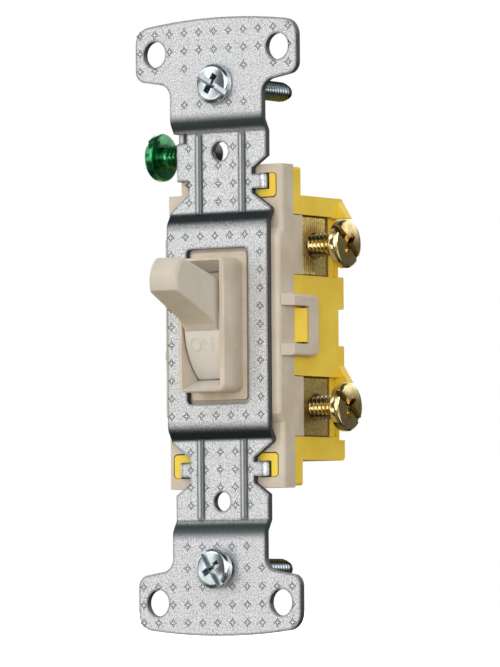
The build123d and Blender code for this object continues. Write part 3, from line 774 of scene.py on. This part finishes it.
turn = np.linspace(0, 2 * np.pi, 33)
letter_o = [np.stack([1.0 + 1.0 * np.sin(turn), 1.25 + 1.07 * np.cos(turn)], -1)]
letter_n = [[(0.1, 0.15), (0.1, 2.35)], [(0.1, 2.25), (1.9, 0.25)], [(1.9, 0.15), (1.9, 2.35)]]
letter_f = [[(0.35, 0.15), (0.35, 2.35)], [(0.35, 2.2), (1.8, 2.2)], [(0.35, 1.3), (1.5, 1.3)]]
for name, letters, x, s, size in (("letters_on", (letter_o, letter_n), -2.66, -8.6, 1.0),
                                  ("letters_off", (letter_o, letter_f, letter_f), -2.65, 6.5, 0.75)):
    points, quads = word(letters, x, s, size)
    make_piece(name, points, quads, almond_toggle, "toggle", sharp=50)

# %% [markdown]
# ## Serrated terminal plates
#
# The line terminal's face is rolled with upright ridges, so that a wire under the screw can't
# slip. They are worn down in the corner below the screw. The load terminal's are only just there.
# A height that is alternately low and high over a flat grid gives them in one step. Quads round
# the screw's hole are left out.

# %% Serrated plate faces
plate_face, plate_sunk = 11.0, 10.95
plate_front, plate_back, plate_half_height = 7.55, 16.6, 5.1
screw_hole_y, screw_hole_r = 12.6, 2.35
worn_behind_y, worn_below_z, worn_limit, worn_ridge = 12.4, -0.8, 4, 0.4


def serrated_face(centre_z, pitch, tall, rest, worn):
    """A sheet on the plate's face: x = face + rest + tall * ridge, with ridge 0 and 1 by turns along y.

    Where the plate is worn, ridge fades to a part of that by the product of two logistic curves, one in
    y and one in z. The sheet's edge is sunk into the plate.
    """
    y = np.arange(plate_front, plate_back + 1e-6, pitch / 2)
    z = np.linspace(-plate_half_height, plate_half_height, 52)
    yy, zz = np.meshgrid(y, z, indexing="ij")
    ridge = np.repeat((np.arange(len(y)) % 2)[:, None], len(z), 1).astype(float)
    if worn:
        behind = 1 / (1 + np.exp(-(yy - worn_behind_y) * worn_limit))
        smooth = behind / (1 + np.exp((zz - worn_below_z) * worn_limit))
        ridge = ridge * (1 - smooth) + worn_ridge * smooth
    x = plate_face + rest + tall * ridge
    edge = np.zeros_like(x, bool)
    edge[[0, -1], :] = edge[:, [0, -1]] = True
    x[edge] = plate_sunk
    points = np.stack([x, yy, zz + centre_z], -1).reshape(-1, 3)
    quads = lattice(len(y), len(z))
    quad_middle = points[quads].mean(1)
    clear = np.hypot(quad_middle[:, 1] - screw_hole_y, quad_middle[:, 2] - centre_z) > screw_hole_r
    return points, quads[clear]


for name, z, pitch, tall, rest, worn in (("line_plate_serrations", 13.87, 0.65, 0.17, 0.0, True),
                                         ("load_plate_serrations", -13.87, 0.55, 0.02, 0.12, False)):
    points, quads = serrated_face(z, pitch, tall, rest, worn)
    make_piece(name, points, quads, brass_plate, "housing", sharp=25)

# %% [markdown]
# ## Floor
#
# A pale floor lies just under the switch. It glows faintly by itself and takes no part in soft
# light or reflections, so it stays even and doesn't light the object from below.

# %% Floor
floor_half = 6.0
level = cad_box[0].z - 0.2 * MM
corners = [(-floor_half, -floor_half, level), (floor_half, -floor_half, level),
           (floor_half, floor_half, level), (-floor_half, floor_half, level)]
floor_mesh = bpy.data.meshes.new("floor")
floor_mesh.from_pydata(corners, [], [(0, 1, 2, 3)])
floor = bpy.data.objects.new("floor", floor_mesh)
bpy.context.scene.collection.objects.link(floor)
floor.visible_diffuse = floor.visible_glossy = False
pale, tree, shader, place = finish_of("pale_floor", 0.0, 0.8, Emission_Strength=0.9)
shader.inputs["Emission Color"].default_value = (1, 1, 1, 1)
cloudy = ramp(tree, grain(tree, place, 200.0), 0.3, 0.7)
join_up(tree, shader, mix(tree, cloudy, (0.86, 0.86, 0.86), (0.9, 0.9, 0.9)))
floor_mesh.materials.append(pale)
print("floor at z in mm:", round(level / MM, 2))

# %% [markdown]
# ## The room
#
# The room is the world, and it has two faces. Dull surfaces are lit by a smooth gradient: bright
# in front, on the left and above, and warm from below. Shiny ones mirror a bright band round the
# horizon that large noise breaks into patches, as windows and cards would, with darkness above and
# below it. One room for both would make the steel patchy or the screws flat. The camera itself
# sees plain white.

# %% The room
world = bpy.data.worlds.new("studio")
bpy.context.scene.world = world
world.use_nodes = True
tree = world.node_tree
toward = add(tree, "TexCoord").outputs["Generated"]
facing = add(tree, "SeparateXYZ", Vector=toward)
ray = add(tree, "LightPath")
front = maths(tree, "MULTIPLY", facing.outputs["Y"], -1.0)
soft = maths(tree, "ADD", maths(tree, "MULTIPLY_ADD", front, 0.30, 0.62),
             maths(tree, "ADD", maths(tree, "MULTIPLY", facing.outputs["X"], -0.18),
                   maths(tree, "MULTIPLY", facing.outputs["Z"], 0.32)))
warm = mix(tree, ramp(tree, facing.outputs["Z"], -0.9, 0.1), (1.0, 0.84, 0.60), (1.0, 1.0, 1.0))
diffuse_room = add(tree, "VectorMath", operation="SCALE", Vector=warm, Scale=soft).outputs[0]
horizon = maths(tree, "MULTIPLY", ramp(tree, facing.outputs["Z"], -0.62, -0.3, 0.1, 1.0),
                ramp(tree, facing.outputs["Z"], 0.45, 0.75, 1.0, 0.16))
clutter = add(tree, "TexNoise", Vector=toward, Scale=1.9, Detail=1.0).outputs[0]
glints = maths(tree, "MULTIPLY", horizon, ramp(tree, clutter, 0.42, 0.53, 0.12, 1.5))
glossy_room = add(tree, "VectorMath", operation="SCALE", Vector=warm, Scale=glints).outputs[0]
room = mix(tree, ray.outputs["Is Glossy Ray"], diffuse_room, glossy_room)
seen = mix(tree, ray.outputs["Is Camera Ray"], room, (1, 1, 1))
tree.links.new(seen, tree.nodes["Background"].inputs["Color"])
tree.nodes["Background"].inputs["Strength"].default_value = 1.0
print("the room uses", len(tree.nodes), "nodes")

# %% [markdown]
# ## Lights
#
# Three square area lights add direction: a weak one from the upper left, the main one in front
# and to the right, which fills the cover's side, and a small one behind the terminals for a rim.
# The Standard view keeps whites white, where a filmic one would turn the steel grey.

# %% Lights


def soft_light(name, at, size, power):
    """A square area light that faces the object."""
    data = bpy.data.lights.new(name, "AREA")
    data.size, data.energy = size, power
    light = bpy.data.objects.new(name, data)
    light.location = at
    light.rotation_mode = "QUATERNION"
    light.rotation_quaternion = (-Vector(at)).to_track_quat("-Z", "Y")
    bpy.context.scene.collection.objects.link(light)
    print(name, power, "W")


soft_light("key_left", (-0.55, -0.8, 0.55), 0.4, 0.4)
soft_light("front_fill", (0.7, -1.1, 0.05), 0.7, 5.4)
soft_light("rim_right", (0.9, 0.35, 0.2), 0.25, 0.8)
bpy.context.scene.view_settings.view_transform = "Standard"
